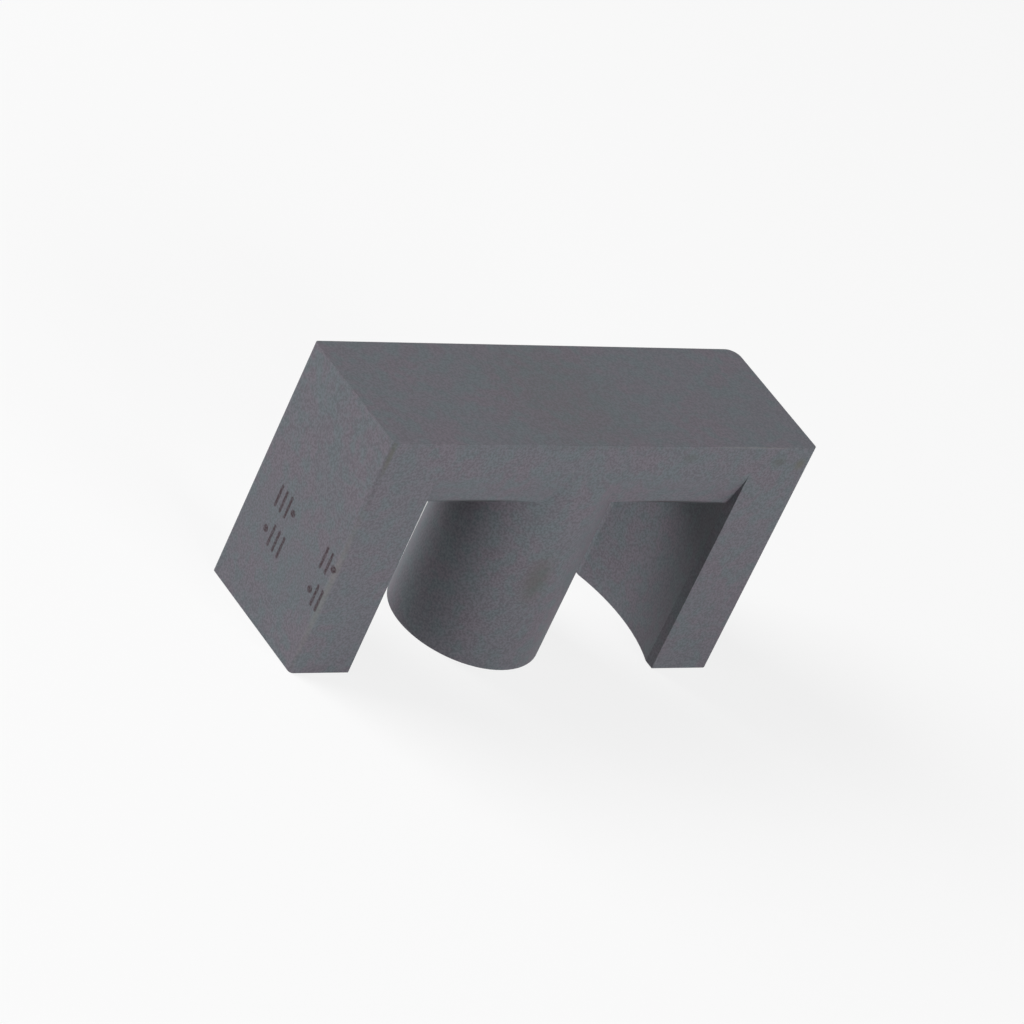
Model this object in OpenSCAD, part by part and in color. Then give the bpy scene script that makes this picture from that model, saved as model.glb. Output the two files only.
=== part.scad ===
// One half of a ferrite E core with a round centre post, pressed and sintered
// in one piece. It stands on its three ground mating faces with the back of the
// yoke on top. X runs along the core, Y through its width, and Z is up. The
// origin lies on the axis of the post, in the plane of the mating faces.

/* [Outline] */
// Length over the two outer legs
core_length = 29.8; // [24.8:0.1:35.8]
// Width from the front face to the back face
core_width = 9.3; // [7.7:0.1:11.2]
// Height from the mating faces to the back of the yoke
core_height = 15.9; // [13.2:0.1:19.1]

/* [Yoke, legs and post] */
// Thickness of the yoke that joins the legs and the post
yoke_thickness = 4.4; // [3.6:0.1:5.3]
// Thickness of each outer leg where its hollow inner side leaves it thinnest
leg_thickness = 3.3; // [2.7:0.1:4]
// Width of the narrow flat that cuts off each sharp inner corner of the legs
corner_flat = 0.68; // [0.3:0.02:1.2]
// Distance of the post's round side behind the front and back faces
post_setback = 0.02; // [0:0.02:0.6]

/* [Yoke bevels] */
// Depth of the bevel at the underside of the yoke
bevel_depth = 0.65; // [0.3:0.05:0.9]
// Height of the bevel above the underside of the yoke
bevel_height = 2.1; // [1.6:0.1:2.6]
// Radius that blends the bevel into the face above it
bevel_blend = 4; // [2:0.1:5]
// Distance by which the root of the post flares out over the height of the bevels
root_flare = 0.35; // [0.1:0.05:0.6]

/* [Edges] */
// Radius of the upright outer edges
edge_radius = 0.25; // [0.1:0.05:0.6]
// Radius of the upright edge at the back right, which is rounder than the others
soft_edge_radius = 0.75; // [0.5:0.05:1.2]

/* [Hidden] */
$fn = 96;

// Colour of the sintered ferrite
ferrite_grey = [0.40, 0.40, 0.42];
// Distance that a cutting shape runs past the surface it cuts
overcut = 1;

half_length = core_length / 2;
half_width = core_width / 2;
post_radius = half_width - post_setback;

// The winding window is a round hollow about the post, from the mating faces
// up to the underside of the yoke
window_radius = half_length - leg_thickness;
window_depth = core_height - yoke_thickness;
// Distance from the middle of the core to the flats on the legs. Each flat
// spans its stated width, between the face and the hollow of the leg.
flat_x = sqrt(pow(window_radius, 2) - pow(half_width - corner_flat, 2));

// Angle between the bevel and the face of the yoke
bevel_angle = atan(bevel_depth / bevel_height);
// Distance from the bevel's upper corner to either end of its blend
blend_run = bevel_blend * tan(bevel_angle / 2);
// Height above the underside of the yoke at which the blend meets the face
bevel_reach = bevel_height + blend_run;

// The pressed block, seen along the pressing direction
module block_outline() {
    difference() {
        square([core_length, core_width], center = true);
        corner_waste(-1, -1, edge_radius);
        corner_waste(1, -1, edge_radius);
        corner_waste(-1, 1, edge_radius);
        corner_waste(1, 1, soft_edge_radius);
    }
}

// What a rounded edge takes off the square outline. The signs pick the corner.
module corner_waste(x_sign, y_sign, radius) {
    difference() {
        translate([x_sign * half_length, y_sign * half_width])
            square(2 * radius, center = true);
        translate([x_sign * (half_length - radius), y_sign * (half_width - radius)])
            circle(radius);
    }
}

// The space of the coil: a round window with flat-sided mouths in both faces
module winding_window() {
    translate([0, 0, -overcut])
        linear_extrude(window_depth + overcut) {
            circle(window_radius);
            square([2 * flat_x, core_width + 2 * overcut], center = true);
        }
}

// Section of what the bevel takes off the front face, drawn with Y to the
// right and Z up: a sloping cut whose upper corner is rolled off by the blend
module bevel_section() {
    blend_top = window_depth + bevel_reach;
    difference() {
        polygon([
            [-half_width - overcut, window_depth - overcut],
            [-half_width - overcut, blend_top],
            [-half_width, blend_top],
            [
                -half_width + blend_run * sin(bevel_angle),
                window_depth + bevel_height - blend_run * cos(bevel_angle)
            ],
            [-half_width + bevel_depth, window_depth],
            [-half_width + bevel_depth, window_depth - overcut]
        ]);
        translate([-half_width + bevel_blend, blend_top])
            circle(bevel_blend);
    }
}

// The bevel along the front of the yoke, from the flat of one leg to the other
module front_bevel() {
    rotate([90, 0, 90])
        linear_extrude(2 * flat_x, center = true)
            bevel_section();
}

// The round post, with the flared root that stands out of the bevels. It runs
// past the mating face and past the top of the bevels.
module centre_post() {
    flare_slope = root_flare / bevel_reach;
    root_height = bevel_reach + overcut;
    translate([0, 0, -2 * overcut])
        cylinder(h = window_depth + 2 * overcut, r = post_radius);
    translate([0, 0, window_depth])
        cylinder(h = root_height, r1 = post_radius, r2 = post_radius + flare_slope * root_height);
}

// The core as one solid: the pressing tool's hollows go into a plain block, and
// the post is the part of the block that they leave standing
module core_half() {
    color(ferrite_grey)
        difference() {
            linear_extrude(core_height)
                block_outline();
            difference() {
                union() {
                    winding_window();
                    front_bevel();
                    mirror([0, 1, 0])
                        front_bevel();
                }
                centre_post();
            }
        }
}

core_half();
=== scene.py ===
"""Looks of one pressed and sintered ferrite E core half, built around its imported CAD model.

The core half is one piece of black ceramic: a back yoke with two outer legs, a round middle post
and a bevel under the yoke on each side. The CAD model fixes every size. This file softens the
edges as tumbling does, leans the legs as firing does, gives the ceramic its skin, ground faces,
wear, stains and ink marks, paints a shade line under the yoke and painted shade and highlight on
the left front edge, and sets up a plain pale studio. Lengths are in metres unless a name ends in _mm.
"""

import logging
import math
from dataclasses import dataclass, field
from enum import Enum

import bmesh
import bpy
from mathutils import Matrix, Vector


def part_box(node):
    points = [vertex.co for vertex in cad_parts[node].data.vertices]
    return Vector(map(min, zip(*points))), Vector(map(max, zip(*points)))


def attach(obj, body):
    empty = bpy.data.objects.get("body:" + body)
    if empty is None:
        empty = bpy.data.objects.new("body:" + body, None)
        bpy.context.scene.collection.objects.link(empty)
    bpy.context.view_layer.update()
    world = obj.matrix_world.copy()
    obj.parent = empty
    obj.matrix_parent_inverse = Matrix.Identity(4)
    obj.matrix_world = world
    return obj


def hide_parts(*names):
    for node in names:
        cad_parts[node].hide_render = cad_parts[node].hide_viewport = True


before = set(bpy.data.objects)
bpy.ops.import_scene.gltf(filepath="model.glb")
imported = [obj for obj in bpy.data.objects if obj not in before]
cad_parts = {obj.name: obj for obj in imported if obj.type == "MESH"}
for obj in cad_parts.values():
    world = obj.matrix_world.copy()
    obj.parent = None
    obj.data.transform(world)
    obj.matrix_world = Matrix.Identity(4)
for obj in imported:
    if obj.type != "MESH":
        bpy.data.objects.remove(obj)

log = logging.getLogger("ferrite_core")

BODY = "root"
CAD_NODE = "core_half"
MM = 0.001
PER_METRE = 1000.0
WORN_ATTRIBUTE = "worn_edge"

# Input and output numbers of the Mix node, whose sockets share names.
MIX_FACTOR = 0
MIX_NUMBER_A, MIX_NUMBER_B, MIX_NUMBER_OUT = 2, 3, 0
MIX_COLOUR_A, MIX_COLOUR_B, MIX_COLOUR_OUT = 6, 7, 2

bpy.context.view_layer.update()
CORE_LOW, CORE_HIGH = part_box(CAD_NODE)


# --- small tools ---------------------------------------------------------------------------------


def linear(code: str) -> tuple[float, float, float, float]:
    """Turn an sRGB hex colour into the linear colour that a socket takes.

    Args:
        code: Colour as written on a paint card, such as "#5B5B61".

    Returns:
        Red, green, blue and a full alpha, in linear light.
    """
    parts = [int(code.lstrip("#")[i : i + 2], 16) / 255.0 for i in (0, 2, 4)]
    red, green, blue = (p / 12.92 if p <= 0.04045 else ((p + 0.055) / 1.055) ** 2.4 for p in parts)
    return (red, green, blue, 1.0)


def add(tree: bpy.types.NodeTree, kind: str, settings: dict | None = None,
        links: dict | None = None) -> bpy.types.Node:
    """Add one node with its settings, its unlinked input values and its incoming links.

    Args:
        tree: Node tree that gets the node.
        kind: Blender's name for the node's type.
        settings: Node properties by name, or input values by socket name or number.
        links: Source sockets by the name or number of the input that they feed.

    Returns:
        The new node.
    """
    node = tree.nodes.new(kind)
    for key, value in (settings or {}).items():
        if isinstance(key, str) and hasattr(node, key):
            setattr(node, key, value)
        else:
            node.inputs[key].default_value = value
    for key, source in (links or {}).items():
        tree.links.new(source, node.inputs[key])
    return node


# --- the ceramic's finish ------------------------------------------------------------------------


class Tone(Enum):
    """Colours of the ferrite, of what lies on it, and of painted shade and highlight."""

    SKIN = "#5D5D63"
    SKIN_COOL = "#596064"
    SKIN_WARM = "#605C63"
    # Paler tone of rubbed edges, also used as a painted highlight along the lower left front edge.
    RUBBED_AND_PAINTED_HIGHLIGHT = "#82827F"
    STAIN = "#4B4C48"
    # Olive tint: a stain near the right front corner, and painted shade on the upper left front edge.
    OLIVE = "#55564B"
    GROUND = "#6A6B70"
    INK = "#35262B"
    # Painted shade: the dark line drawn along the lower edge of each bevel under the yoke.
    PAINTED_SHADE_LINE = "#2C2C2E"


@dataclass(frozen=True)
class Patch:
    """A soft-edged area with another tone, such as a stain, a rubbed stretch, or painted shade or highlight.

    Centre and radii are in millimetres in the core's frame; strength is 0 to 1.
    """

    name: str
    centre_mm: tuple[float, float, float]
    radii_mm: tuple[float, float, float]
    tone: Tone
    strength: float


@dataclass(frozen=True)
class InkMark:
    """One stamped tick or dot on the left end face, placed along the width and the height."""

    across_mm: float
    up_mm: float
    half_height_mm: float
    radius_mm: float


class MarkKind(Enum):
    """The two shapes of the ink stamp: half height of the stroke and its pen radius, in mm."""

    TICK = (0.62, 0.105)
    DOT = (0.0, 0.22)

    def at(self, across_mm: float, up_mm: float) -> InkMark:
        """Return this shape placed on the end face."""
        return InkMark(across_mm, up_mm, *self.value)


@dataclass(frozen=True)
class SinteredFerrite:
    """Manganese zinc ferrite, pressed from granules and sintered, then ground on the mating faces.

    The crystal is glossy, with an index near 2.3, but the as-fired skin is finely porous and
    scatters light evenly, so it looks dull and dark grey with hardly any shine. The lapped faces
    are a little paler and show fine lines along the grinding direction.
    """

    name: str = "sintered_manganese_zinc_ferrite"
    # Broad warm and cool areas from the kiln, and the mottling inside them.
    patch_size_mm: float = 3.6
    patch_band: tuple[float, float] = (0.38, 0.62)
    mottle_size_mm: float = 0.85
    mottle_band: tuple[float, float] = (0.40, 0.68)
    mottle_share: float = 0.8
    # Crystal grains are about 0.01 mm, too fine to show, so the grain is drawn as coarse as the
    # prints of the spray-dried granules, 0.1 to 0.2 mm.
    granule_size_mm: float = 0.13
    granule_band: tuple[float, float] = (0.3, 0.7)
    roughness: float = 0.62
    roughness_spread: float = 0.05
    ground_roughness: float = 0.42
    # A porous skin shines less than the crystal would, so index and gloss are set low.
    ior: float = 1.5
    gloss_level: float = 0.2
    bump_mm: float = 0.012
    bump_strength: float = 0.5
    grain_contrast: float = 0.16
    ground_reach_mm: float = 0.03
    rubbed_strength: float = 0.35
    rubbed_size_mm: float = 1.4
    rubbed_band: tuple[float, float] = (0.35, 0.65)
    rubbed_least: float = 0.3
    patch_core: float = 0.1
    ink_strength: float = 0.95
    ink_edge_mm: float = 0.05
    ink_depth_mm: tuple[float, float] = (0.3, 0.4)
    ink_band: tuple[float, float] = (0.35, 0.7)
    ink_least: float = 0.6
    patches: tuple[Patch, ...] = ()
    marks: tuple[InkMark, ...] = ()


@dataclass
class FerriteMaterial:
    """Builds the ferrite's node tree from its finish."""

    finish: SinteredFerrite
    end_face_mm: float

    def build(self) -> bpy.types.Material:
        """Build the whole material.

        Returns:
            The finished material.
        """
        material = bpy.data.materials.new(self.finish.name)
        material.use_nodes = True
        self.tree = material.node_tree
        self.tree.nodes.clear()
        place = add(self.tree, "ShaderNodeTexCoord")
        self.place = add(self.tree, "ShaderNodeVectorMath",
                         {"operation": "SCALE", "Scale": PER_METRE}, {0: place.outputs["Object"]})
        self.at = self.place.outputs["Vector"]
        granules = self.noise(self.finish.granule_size_mm, 1.0)
        colour = self.skin(granules)
        for patch in self.finish.patches:
            colour = self.blend(colour, patch.tone, self.patch_mask(patch))
        colour = self.blend(colour, Tone.RUBBED_AND_PAINTED_HIGHLIGHT, self.rubbed_mask())
        ground = self.ground_mask()
        colour = self.blend(colour, Tone.GROUND, ground)
        colour = self.blend(colour, Tone.INK, self.ink_mask(granules))
        self.surface(colour, ground, granules)
        return material

    def noise(self, size_mm: float, detail: float) -> bpy.types.NodeSocket:
        """Return a noise factor.

        Args:
            size_mm: Width of its features.
            detail: How many finer layers it has.

        Returns:
            Factor socket.
        """
        return add(self.tree, "ShaderNodeTexNoise",
                   {"Scale": 1.0 / size_mm, "Detail": detail}, {"Vector": self.at}).outputs[0]

    def ramp(self, value: bpy.types.NodeSocket, low: float, high: float,
             out_low: float = 0.0, out_high: float = 1.0) -> bpy.types.NodeSocket:
        """Take a value smoothly from one range to another.

        Args:
            value: Socket to read.
            low: Value that gives out_low.
            high: Value that gives out_high.
            out_low: Lower result.
            out_high: Upper result.

        Returns:
            Result socket.
        """
        return add(self.tree, "ShaderNodeMapRange",
                   {"interpolation_type": "SMOOTHSTEP", "From Min": low, "From Max": high,
                    "To Min": out_low, "To Max": out_high}, {"Value": value}).outputs["Result"]

    def maths(self, operation: str, first: bpy.types.NodeSocket | float,
              second: bpy.types.NodeSocket | float = 0.0) -> bpy.types.NodeSocket:
        """Work out one sum of two sockets or numbers.

        Args:
            operation: Blender's name for the sum.
            first: First socket or number.
            second: Second socket or number.

        Returns:
            Result socket.
        """
        both = {0: first, 1: second}
        numbers = {k: v for k, v in both.items() if isinstance(v, float)}
        sockets = {k: v for k, v in both.items() if not isinstance(v, float)}
        return add(self.tree, "ShaderNodeMath", {"operation": operation, **numbers}, sockets).outputs[0]

    def blend(self, colour: bpy.types.NodeSocket, tone: Tone,
              mask: bpy.types.NodeSocket) -> bpy.types.NodeSocket:
        """Turn a colour towards a tone.

        Args:
            colour: Colour so far.
            tone: Tone to reach where the mask is 1.
            mask: Factor socket.

        Returns:
            Colour socket.
        """
        return add(self.tree, "ShaderNodeMix",
                   {"data_type": "RGBA", MIX_COLOUR_B: linear(tone.value)},
                   {MIX_FACTOR: mask, MIX_COLOUR_A: colour}).outputs[MIX_COLOUR_OUT]

    def skin(self, granules: bpy.types.NodeSocket) -> bpy.types.NodeSocket:
        """Return the fired skin: broad warm and cool areas, finer mottling and granule grain.

        Args:
            granules: Noise factor of the pressed granules.

        Returns:
            Colour socket.
        """
        finish = self.finish
        broad = self.ramp(self.noise(finish.patch_size_mm, 2.0), *finish.patch_band)
        base = add(self.tree, "ShaderNodeMix",
                   {"data_type": "RGBA", MIX_COLOUR_A: linear(Tone.SKIN.value),
                    MIX_COLOUR_B: linear(Tone.SKIN_WARM.value)},
                   {MIX_FACTOR: broad}).outputs[MIX_COLOUR_OUT]
        mottle = self.ramp(self.noise(finish.mottle_size_mm, 2.0), *finish.mottle_band, 0.0,
                           finish.mottle_share)
        base = self.blend(base, Tone.SKIN_COOL, mottle)
        grain = self.ramp(granules, *finish.granule_band, 1.0 - finish.grain_contrast,
                          1.0 + finish.grain_contrast)
        return add(self.tree, "ShaderNodeVectorMath", {"operation": "SCALE"},
                   {0: base, "Scale": grain}).outputs["Vector"]

    def patch_mask(self, patch: Patch) -> bpy.types.NodeSocket:
        """Return a soft ellipsoid mask for one patch.

        Args:
            patch: Place, size and strength of the patch.

        Returns:
            Factor socket, at its strength in the middle and nothing outside.
        """
        apart = add(self.tree, "ShaderNodeVectorMath", {"operation": "SUBTRACT", 1: patch.centre_mm},
                    {0: self.at})
        scaled = add(self.tree, "ShaderNodeVectorMath", {"operation": "DIVIDE", 1: patch.radii_mm},
                     {0: apart.outputs["Vector"]})
        length = add(self.tree, "ShaderNodeVectorMath", {"operation": "LENGTH", "label": patch.name},
                     {0: scaled.outputs["Vector"]})
        return self.ramp(length.outputs["Value"], self.finish.patch_core, 1.0, patch.strength, 0.0)

    def rubbed_mask(self) -> bpy.types.NodeSocket:
        """Return the mask of the rubbed edges, broken up along their length."""
        edge = add(self.tree, "ShaderNodeAttribute", {"attribute_name": WORN_ATTRIBUTE})
        broken = self.ramp(self.noise(self.finish.rubbed_size_mm, 3.0), *self.finish.rubbed_band,
                           self.finish.rubbed_least, 1.0)
        return self.maths("MULTIPLY", self.maths("MULTIPLY", edge.outputs["Fac"], broken),
                          self.finish.rubbed_strength)

    def ground_mask(self) -> bpy.types.NodeSocket:
        """Return the mask of the ground mating faces, which lie at the foot of the core."""
        height = add(self.tree, "ShaderNodeSeparateXYZ", {}, {0: self.at}).outputs["Z"]
        return self.ramp(height, 0.0, self.finish.ground_reach_mm, 1.0, 0.0)

    def ink_mask(self, granules: bpy.types.NodeSocket) -> bpy.types.NodeSocket:
        """Return the mask of the stamped ticks and dots, thinned where granules stand proud.

        Args:
            granules: Noise factor of the pressed granules.

        Returns:
            Factor socket.
        """
        group = self.mark_group()
        nearest: bpy.types.NodeSocket | None = None
        for mark in self.finish.marks:
            node = add(self.tree, "ShaderNodeGroup", {"node_tree": group})
            for name, value in (("Across", mark.across_mm), ("Up", mark.up_mm),
                                ("Half height", mark.half_height_mm), ("Radius", mark.radius_mm)):
                node.inputs[name].default_value = value
            self.tree.links.new(self.at, node.inputs["Place"])
            gap = node.outputs["Gap"]
            nearest = gap if nearest is None else self.maths("MINIMUM", nearest, gap)
        soft = self.finish.ink_edge_mm
        covered = self.ramp(nearest, -soft, soft, self.finish.ink_strength, 0.0)
        depth = add(self.tree, "ShaderNodeSeparateXYZ", {}, {0: self.at}).outputs["X"]
        near, far = self.finish.ink_depth_mm
        on_face = self.ramp(depth, self.end_face_mm + near, self.end_face_mm + far, 1.0, 0.0)
        thin = self.ramp(granules, *self.finish.ink_band, 1.0, self.finish.ink_least)
        return self.maths("MULTIPLY", self.maths("MULTIPLY", covered, on_face), thin)

    def mark_group(self) -> bpy.types.NodeTree:
        """Make the node group that measures the gap from a point to one upright round stroke.

        Returns:
            The node group.
        """
        group = bpy.data.node_groups.new("ink_mark", "ShaderNodeTree")
        for name, kind in (("Place", "NodeSocketVector"), ("Across", "NodeSocketFloat"),
                           ("Up", "NodeSocketFloat"), ("Half height", "NodeSocketFloat"),
                           ("Radius", "NodeSocketFloat")):
            group.interface.new_socket(name, in_out="INPUT", socket_type=kind)
        group.interface.new_socket("Gap", in_out="OUTPUT", socket_type="NodeSocketFloat")
        entry = add(group, "NodeGroupInput")
        split = add(group, "ShaderNodeSeparateXYZ", {}, {0: entry.outputs["Place"]})
        across = add(group, "ShaderNodeMath", {"operation": "SUBTRACT"},
                     {0: split.outputs["Y"], 1: entry.outputs["Across"]})
        rise = add(group, "ShaderNodeMath", {"operation": "SUBTRACT"},
                   {0: split.outputs["Z"], 1: entry.outputs["Up"]})
        size = add(group, "ShaderNodeMath", {"operation": "ABSOLUTE"}, {0: rise.outputs[0]})
        past = add(group, "ShaderNodeMath", {"operation": "SUBTRACT"},
                   {0: size.outputs[0], 1: entry.outputs["Half height"]})
        beyond = add(group, "ShaderNodeMath", {"operation": "MAXIMUM", 1: 0.0}, {0: past.outputs[0]})
        both = add(group, "ShaderNodeCombineXYZ", {}, {"X": across.outputs[0], "Y": beyond.outputs[0]})
        length = add(group, "ShaderNodeVectorMath", {"operation": "LENGTH"}, {0: both.outputs[0]})
        gap = add(group, "ShaderNodeMath", {"operation": "SUBTRACT"},
                  {0: length.outputs["Value"], 1: entry.outputs["Radius"]})
        add(group, "NodeGroupOutput", {}, {"Gap": gap.outputs[0]})
        return group

    def surface(self, colour: bpy.types.NodeSocket, ground: bpy.types.NodeSocket,
                granules: bpy.types.NodeSocket) -> None:
        """Add the shader with its roughness and fine relief.

        Args:
            colour: Finished base colour.
            ground: Mask of the ground faces.
            granules: Noise factor of the pressed granules.
        """
        finish = self.finish
        fired = self.ramp(granules, *finish.granule_band, finish.roughness - finish.roughness_spread,
                          finish.roughness + finish.roughness_spread)
        roughness = add(self.tree, "ShaderNodeMix",
                        {"data_type": "FLOAT", MIX_NUMBER_B: finish.ground_roughness},
                        {MIX_FACTOR: ground, MIX_NUMBER_A: fired}).outputs[MIX_NUMBER_OUT]
        relief = add(self.tree, "ShaderNodeBump",
                     {"Strength": finish.bump_strength, "Distance": finish.bump_mm * MM},
                     {"Height": granules})
        shader = add(self.tree, "ShaderNodeBsdfPrincipled",
                     {"IOR": finish.ior, "Specular IOR Level": finish.gloss_level},
                     {"Base Color": colour, "Roughness": roughness, "Normal": relief.outputs[0]})
        add(self.tree, "ShaderNodeOutputMaterial", {}, {"Surface": shader.outputs[0]})


# --- the core half -------------------------------------------------------------------------------


@dataclass
class CoreHalf:
    """The one-piece core half: its CAD shape with the edges broken as tumbling leaves them."""

    name: str = "ferrite_core_half"
    edge_break: float = 0.04 * MM
    break_segments: int = 2
    sharp_angle: float = math.radians(12.0)
    flat_angle: float = math.radians(0.05)
    merge_gap: float = 0.0005 * MM
    normal_weight: int = 100
    leg_lean: float = 0.12 * MM
    leg_start: float = 10.5 * MM
    window_depth: float = 11.5 * MM
    finish: SinteredFerrite = field(default_factory=SinteredFerrite)

    def build(self) -> bpy.types.Object:
        """Copy the CAD shape, join its triangles, break its edges and set its shading.

        Returns:
            The finished object, at the origin.
        """
        shape = bmesh.new()
        shape.from_mesh(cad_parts[CAD_NODE].data)
        self.join(shape)
        self.break_edges(shape)
        self.lean_legs(shape)
        mesh = bpy.data.meshes.new(self.name)
        shape.to_mesh(mesh)
        shape.free()
        self.piece = bpy.data.objects.new(self.name, mesh)
        bpy.context.scene.collection.objects.link(self.piece)
        even = self.piece.modifiers.new("even_shading", "WEIGHTED_NORMAL")
        even.mode = "FACE_AREA"
        even.weight = self.normal_weight
        even.keep_sharp = False
        return self.piece

    def join(self, shape: bmesh.types.BMesh) -> None:
        """Merge the copy's loose triangles and clear the lines across flat faces.

        Args:
            shape: Copy of the CAD shape.
        """
        bmesh.ops.remove_doubles(shape, verts=shape.verts, dist=self.merge_gap)
        bmesh.ops.dissolve_limit(shape, angle_limit=self.flat_angle, verts=shape.verts,
                                 edges=shape.edges, delimit={"NORMAL"})
        bmesh.ops.recalc_face_normals(shape, faces=shape.faces)

    def break_edges(self, shape: bmesh.types.BMesh) -> None:
        """Round every sharp edge a little and mark the new strips as worn.

        Args:
            shape: The joined shape.
        """
        sharp = [e for e in shape.edges if e.is_manifold and e.calc_face_angle() > self.sharp_angle]
        worn = shape.faces.layers.float.new(WORN_ATTRIBUTE)
        made = bmesh.ops.bevel(shape, geom=sharp, offset=self.edge_break, offset_type="OFFSET",
                               affect="EDGES", segments=self.break_segments, profile=0.5, material=-1,
                               clamp_overlap=True)
        for face in made["faces"]:
            face[worn] = 1.0
        for face in shape.faces:
            face.smooth = True

    def lean_legs(self, shape: bmesh.types.BMesh) -> None:
        """Lean the outer legs inwards a little towards their tips, as firing leaves them.

        Args:
            shape: The shape with its edges broken.
        """
        for point in shape.verts:
            if abs(point.co.x) > self.leg_start and point.co.z < self.window_depth:
                below = (self.window_depth - point.co.z) / self.window_depth
                point.co.x -= math.copysign(self.leg_lean * below, point.co.x)

    def dress(self) -> None:
        """Give the piece its finish and its place in the frame."""
        self.piece.data.materials.clear()
        self.piece.data.materials.append(FerriteMaterial(self.finish, CORE_LOW.x / MM).build())
        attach(self.piece, BODY)
        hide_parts(CAD_NODE)


# --- studio --------------------------------------------------------------------------------------


@dataclass(frozen=True)
class SoftBox:
    """A square soft box aimed at the core from a compass direction."""

    name: str
    azimuth: float
    elevation: float
    power: float
    distance: float = 0.45
    size: float = 0.30


@dataclass
class Studio:
    """Plain pale floor, plain soft light and a white surround."""

    floor_size: float = 6.0
    floor_gap: float = 0.02 * MM
    floor_tone: str = "#E6E6E6"
    shadow_share: float = 0.18
    sky_strength: float = 0.07
    boxes: tuple[SoftBox, ...] = (
        SoftBox("front_box", 3.0, 12.0, 2.0),
        SoftBox("back_left_box", -132.0, 37.0, 2.35),
        SoftBox("left_box", -100.0, 12.0, 0.30),
    )

    def build(self) -> None:
        """Set up the floor, the surround and the soft boxes."""
        self.lay_floor()
        self.light_surround()
        for box in self.boxes:
            self.hang(box)

    def seen_directly(self, tree: bpy.types.NodeTree) -> bpy.types.NodeSocket:
        """Tell what the eye sees straight on, in gloss or through glass.

        Args:
            tree: Node tree of the floor or the surround.

        Returns:
            Socket that is 1 for such rays and 0 for others.
        """
        path = add(tree, "ShaderNodeLightPath")
        gloss = add(tree, "ShaderNodeMath", {"operation": "MAXIMUM"},
                    {0: path.outputs["Is Camera Ray"], 1: path.outputs["Is Glossy Ray"]})
        return add(tree, "ShaderNodeMath", {"operation": "MAXIMUM"},
                   {0: gloss.outputs[0], 1: path.outputs["Is Transmission Ray"]}).outputs[0]

    def lay_floor(self) -> None:
        """Lay a pale matt floor just under the mating faces, which still takes the shadow."""
        shape = bmesh.new()
        bmesh.ops.create_grid(shape, x_segments=1, y_segments=1, size=self.floor_size / 2)
        bmesh.ops.translate(shape, verts=shape.verts, vec=(0.0, 0.0, CORE_LOW.z - self.floor_gap))
        mesh = bpy.data.meshes.new("floor")
        shape.to_mesh(mesh)
        shape.free()
        floor = bpy.data.objects.new("floor", mesh)
        bpy.context.scene.collection.objects.link(floor)
        material = bpy.data.materials.new("white_paper")
        material.use_nodes = True
        tree = material.node_tree
        tree.nodes.clear()
        paper = add(tree, "ShaderNodeBsdfDiffuse", {"Color": linear(self.floor_tone)})
        white = add(tree, "ShaderNodeEmission", {"Strength": 1.0})
        share = add(tree, "ShaderNodeMath", {"operation": "MULTIPLY", 1: 1.0 - self.shadow_share},
                    {0: self.seen_directly(tree)})
        both = add(tree, "ShaderNodeMixShader", {},
                   {0: share.outputs[0], 1: paper.outputs[0], 2: white.outputs[0]})
        add(tree, "ShaderNodeOutputMaterial", {}, {"Surface": both.outputs[0]})
        mesh.materials.append(material)

    def light_surround(self) -> None:
        """Make the surround a soft white light that the eye sees as plain white."""
        world = bpy.data.worlds.new("white_surround")
        world.use_nodes = True
        tree = world.node_tree
        tree.nodes.clear()
        strength = add(tree, "ShaderNodeMapRange", {"To Min": self.sky_strength, "To Max": 1.0},
                       {"Value": self.seen_directly(tree)})
        sky = add(tree, "ShaderNodeBackground", {}, {"Strength": strength.outputs["Result"]})
        sky.inputs["Color"].default_value = linear("#FFFFFF")
        add(tree, "ShaderNodeOutputWorld", {}, {"Surface": sky.outputs[0]})
        bpy.context.scene.world = world

    def hang(self, box: SoftBox) -> None:
        """Hang one soft box and turn it to the middle of the core.

        Args:
            box: Direction, distance, size and power of the light.
        """
        lamp = bpy.data.lights.new(box.name, "AREA")
        lamp.shape = "SQUARE"
        lamp.size = box.size
        lamp.energy = box.power
        light = bpy.data.objects.new(box.name, lamp)
        bpy.context.scene.collection.objects.link(light)
        middle = (CORE_LOW + CORE_HIGH) / 2
        away = direction(box.azimuth, box.elevation)
        light.location = middle + away * box.distance
        light.rotation_euler = away.to_track_quat("Z", "Y").to_euler()


def direction(azimuth: float, elevation: float) -> Vector:
    """Return the unit vector from the core towards a compass direction.

    Args:
        azimuth: Degrees from the front, where 90 is the right end.
        elevation: Degrees above the floor.

    Returns:
        Unit vector.
    """
    turn, rise = math.radians(azimuth), math.radians(elevation)
    return Vector((math.sin(turn) * math.cos(rise), -math.cos(turn) * math.cos(rise), math.sin(rise)))


@dataclass(frozen=True)
class Viewpoint:
    """A long lens on the front left of the core, rolled so that the core leans."""

    azimuth: float = -44.412
    elevation: float = 29.016
    roll: float = 25.587
    distance: float = 410.17 * MM
    lens_mm: float = 256.98
    sensor_mm: float = 36.0
    aim_mm: tuple[float, float, float] = (-0.1827, -0.0470, 7.7090)

    def place(self) -> bpy.types.Object:
        """Put the camera in the scene and make it the scene's camera.

        Returns:
            The camera object.
        """
        lens = bpy.data.cameras.new("camera")
        lens.lens = self.lens_mm
        lens.sensor_width = self.sensor_mm
        lens.clip_start = 10.0 * MM
        camera = bpy.data.objects.new("camera", lens)
        bpy.context.scene.collection.objects.link(camera)
        away = direction(self.azimuth, self.elevation)
        turn = away.to_track_quat("Z", "Y").to_matrix() @ Matrix.Rotation(math.radians(self.roll), 3, "Z")
        camera.matrix_world = Matrix.Translation(Vector(self.aim_mm) * MM + away * self.distance) \
            @ turn.to_4x4()
        bpy.context.scene.camera = camera
        return camera


# --- putting it together -------------------------------------------------------------------------

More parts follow.
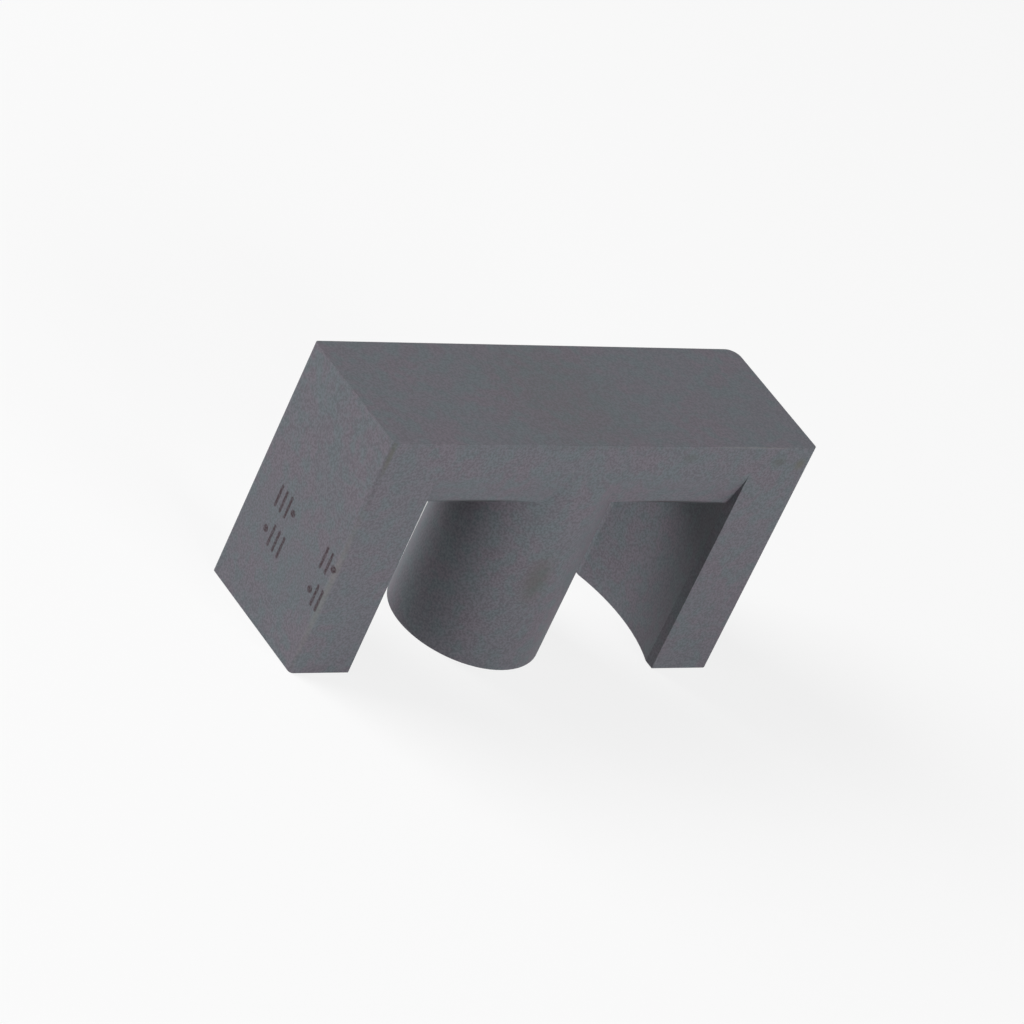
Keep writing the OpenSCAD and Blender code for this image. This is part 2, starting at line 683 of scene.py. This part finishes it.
PATCHES = (
    Patch("rubbed_back_edge", (10.5, -4.65, 15.9), (4.2, 0.12, 0.12), Tone.RUBBED_AND_PAINTED_HIGHLIGHT, 0.25),
    # Wear and painted highlight: a light line along the lower left front edge.
    Patch("rubbed_and_painted_highlight_left_edge", (-14.85, -4.6, 5.5), (0.35, 0.35, 8.0), Tone.RUBBED_AND_PAINTED_HIGHLIGHT, 0.4),
    # Painted shade: an olive-tinted dark band on the rounded upper left front edge.
    Patch("painted_shade_on_left_edge", (-14.8, -4.65, 15.0), (0.26, 0.26, 1.9), Tone.OLIVE, 0.5),
    Patch("corner_stain_outer", (14.2, -4.65, 14.75), (0.55, 0.5, 0.6), Tone.OLIVE, 0.6),
    Patch("corner_stain_inner", (12.6, -4.65, 14.9), (0.7, 0.5, 0.5), Tone.STAIN, 0.5),
    Patch("yoke_stain", (6.1, -4.65, 15.1), (0.8, 0.5, 0.45), Tone.STAIN, 0.4),
    Patch("setter_shade", (-1.0, 0.0, 15.9), (6.5, 9.0, 0.6), Tone.STAIN, 0.14),
    # Painted shade: a dark line along the lower edge of each bevel, under the yoke.
    Patch("painted_shade_under_yoke_left", (-6.8, -4.0, 11.5), (4.6, 0.24, 0.24), Tone.PAINTED_SHADE_LINE, 0.95),
    Patch("painted_shade_under_yoke_right", (6.9, -4.0, 11.5), (4.6, 0.24, 0.24), Tone.PAINTED_SHADE_LINE, 0.95),
    Patch("post_smudge", (-0.6, -4.6, 6.4), (1.2, 1.4, 2.4), Tone.STAIN, 0.55),
)

MARKS = (
    *(MarkKind.TICK.at(across, 7.15) for across in (2.1, 1.55, 1.0)),
    MarkKind.DOT.at(0.45, 7.15),
    MarkKind.DOT.at(2.0, 4.95),
    *(MarkKind.TICK.at(across, 4.95) for across in (1.35, 0.8, 0.25)),
    *(MarkKind.TICK.at(across, 7.05) for across in (-3.3, -3.85)),
    MarkKind.DOT.at(-4.35, 7.05),
    MarkKind.DOT.at(-3.3, 4.85),
    *(MarkKind.TICK.at(across, 4.85) for across in (-3.85, -4.35)),
)


def main() -> None:
    """Build the core half, the studio and the camera, and report each."""
    logging.basicConfig(level=logging.INFO, format="%(name)s: %(message)s")
    core = CoreHalf(finish=SinteredFerrite(patches=PATCHES, marks=MARKS))
    piece = core.build()
    core.dress()
    log.info("%s: %d faces", piece.name, len(piece.data.polygons))
    Studio().build()
    log.info("studio: floor, surround and soft boxes")
    Viewpoint().place()
    log.info("camera placed")
    bpy.context.scene.view_settings.view_transform = "Standard"


if __name__ == "__main__":
    main()
